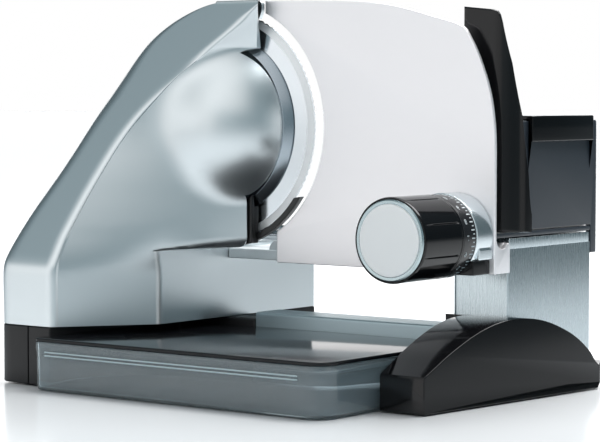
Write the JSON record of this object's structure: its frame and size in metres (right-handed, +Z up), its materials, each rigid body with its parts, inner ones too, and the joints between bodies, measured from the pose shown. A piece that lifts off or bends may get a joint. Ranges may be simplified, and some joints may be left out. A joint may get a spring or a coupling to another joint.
{
  "type": "food slicer",
  "caption": "Electric kitchen slicer: round blade on a leaning motor tower, sliding stop plate with a thickness knob, food carriage with hand guard, and a catch tray.",
  "frame": {"origin": "on the table, under the middle of the whole slicer's box", "axes": "+X along the blade's plane from the motor tower to the column, +Y to the food side, +Z up"},
  "size_m": [0.373, 0.283, 0.281],
  "materials": {
    "silver_lacquer": "cool silver metallic lacquer, satin",
    "brushed_aluminium": "finely brushed, clear",
    "polished_steel": "ground and polished",
    "zinc_steel": "zinc plated",
    "ground_rail_steel": "ground",
    "gloss_black": "high gloss",
    "matt_black": "satin",
    "slate_plastic": "satin",
    "smoky_clear": "smoky translucent",
    "lid_gloss_black": "high gloss",
    "black_rubber": "matt",
    "natural_plastic": "natural",
    "copper_winding": "lacquered winding",
    "brass": "turned"
  },
  "bodies": {
    "frame": {"base_body": "matt_black", "base_cover": "zinc_steel", "base_pad_1": "black_rubber", "base_pad_2": "black_rubber", "base_pad_3": "black_rubber", "foot_pad_1": "black_rubber", "foot_pad_2": "black_rubber", "tower_housing": "silver_lacquer", "blade_shroud": "matt_black", "blade_guard_plate": "silver_lacquer", "right_foot": "gloss_black", "crossbar": "brushed_aluminium", "column": "brushed_aluminium", "plate_guide": "gloss_black", "cam_pin": "zinc_steel", "bridge": "brushed_aluminium", "rail_front": "ground_rail_steel", "rail_back": "ground_rail_steel", "rail_block": "gloss_black", "rear_cover": "matt_black", "cord_gland": "black_rubber", "rear_screw_1": "zinc_steel", "rear_screw_2": "zinc_steel", "blade_axle": "zinc_steel", "motor_can": "zinc_steel", "motor_lid": "natural_plastic", "motor_mount": "natural_plastic", "stator": "copper_winding", "worm_bracket": "natural_plastic", "switch_body": "matt_black"},
    "blade": {"slicing_blade": "polished_steel", "blade_carrier": "silver_lacquer", "worm_wheel": "natural_plastic"},
    "lock": {"blade_lock": "matt_black"},
    "rotor": {"motor_shaft": "zinc_steel", "armature": "copper_winding", "worm": "brass", "cooling_fan": "matt_black"},
    "plate": {"stop_plate": "brushed_aluminium", "guide_rod": "zinc_steel", "knob_collar": "silver_lacquer", "knob_pivot": "zinc_steel"},
    "knob": {"knob_grip": "gloss_black", "knob_cap": "silver_lacquer", "thickness_scale": "matt_black", "cam_drum": "matt_black"},
    "carriage": {"carriage_table": "slate_plastic", "push_wall": "slate_plastic", "shoe_front_left": "natural_plastic", "shoe_front_right": "natural_plastic", "shoe_back_left": "natural_plastic", "shoe_back_right": "natural_plastic", "hand_guard": "gloss_black"},
    "pusher": {"pusher_clip": "gloss_black", "pusher_plate": "slate_plastic", "pusher_arm": "slate_plastic"},
    "button": {"switch_button": "gloss_black"},
    "tray": {"catch_tray": "smoky_clear"},
    "lid": {"tray_lid": "lid_gloss_black"}
  },
  "joints": [
    {"name": "blade_spin", "type": "hinge", "parent": "frame", "child": "blade", "pos_m": [-0.068, 0.0015, 0.189], "axis": [0, 1, 0], "continuous": true},
    {"name": "rotor_spin", "type": "hinge", "parent": "frame", "child": "rotor", "pos_m": [-0.1133, -0.0225, 0.088], "axis": [0, 0, 1], "continuous": true},
    {"name": "lock_turn", "type": "hinge", "parent": "blade", "child": "lock", "pos_m": [-0.068, 0.0015, 0.189], "axis": [0, 1, 0], "range_deg": [0, 90]},
    {"name": "plate_slide", "type": "slide", "parent": "frame", "child": "plate", "axis": [0, -1, 0], "range_m": [0, 0.02]},
    {"name": "knob_turn", "type": "hinge", "parent": "plate", "child": "knob", "pos_m": [0.1426, 0.0015, 0.1155], "axis": [0, 1, 0], "range_deg": [0, 330]},
    {"name": "carriage_slide", "type": "slide", "parent": "frame", "child": "carriage", "axis": [-1, 0, 0], "range_m": [0, 0.19]},
    {"name": "pusher_slide", "type": "slide", "parent": "carriage", "child": "pusher", "axis": [0, -1, 0], "range_m": [-0.008, 0.026]},
    {"name": "button_press", "type": "slide", "parent": "frame", "child": "button", "axis": [1, 0, 0], "range_m": [0, 0.002], "stiffness_N_per_m": 500, "springref_m": -0.001},
    {"name": "tray_slide", "type": "slide", "parent": "frame", "child": "tray", "axis": [0, -1, 0], "range_m": [0, 0.16]},
    {"name": "lid_slide", "type": "slide", "parent": "tray", "child": "lid", "axis": [0, -1, 0], "range_m": [0, 0.16]}
  ],
  "couplings": [
    {"joint": "rotor_spin", "follows": "blade_spin", "ratio": 30},
    {"joint": "knob_turn", "follows": "plate_slide", "rad_per_m": 287.9}
  ]
}
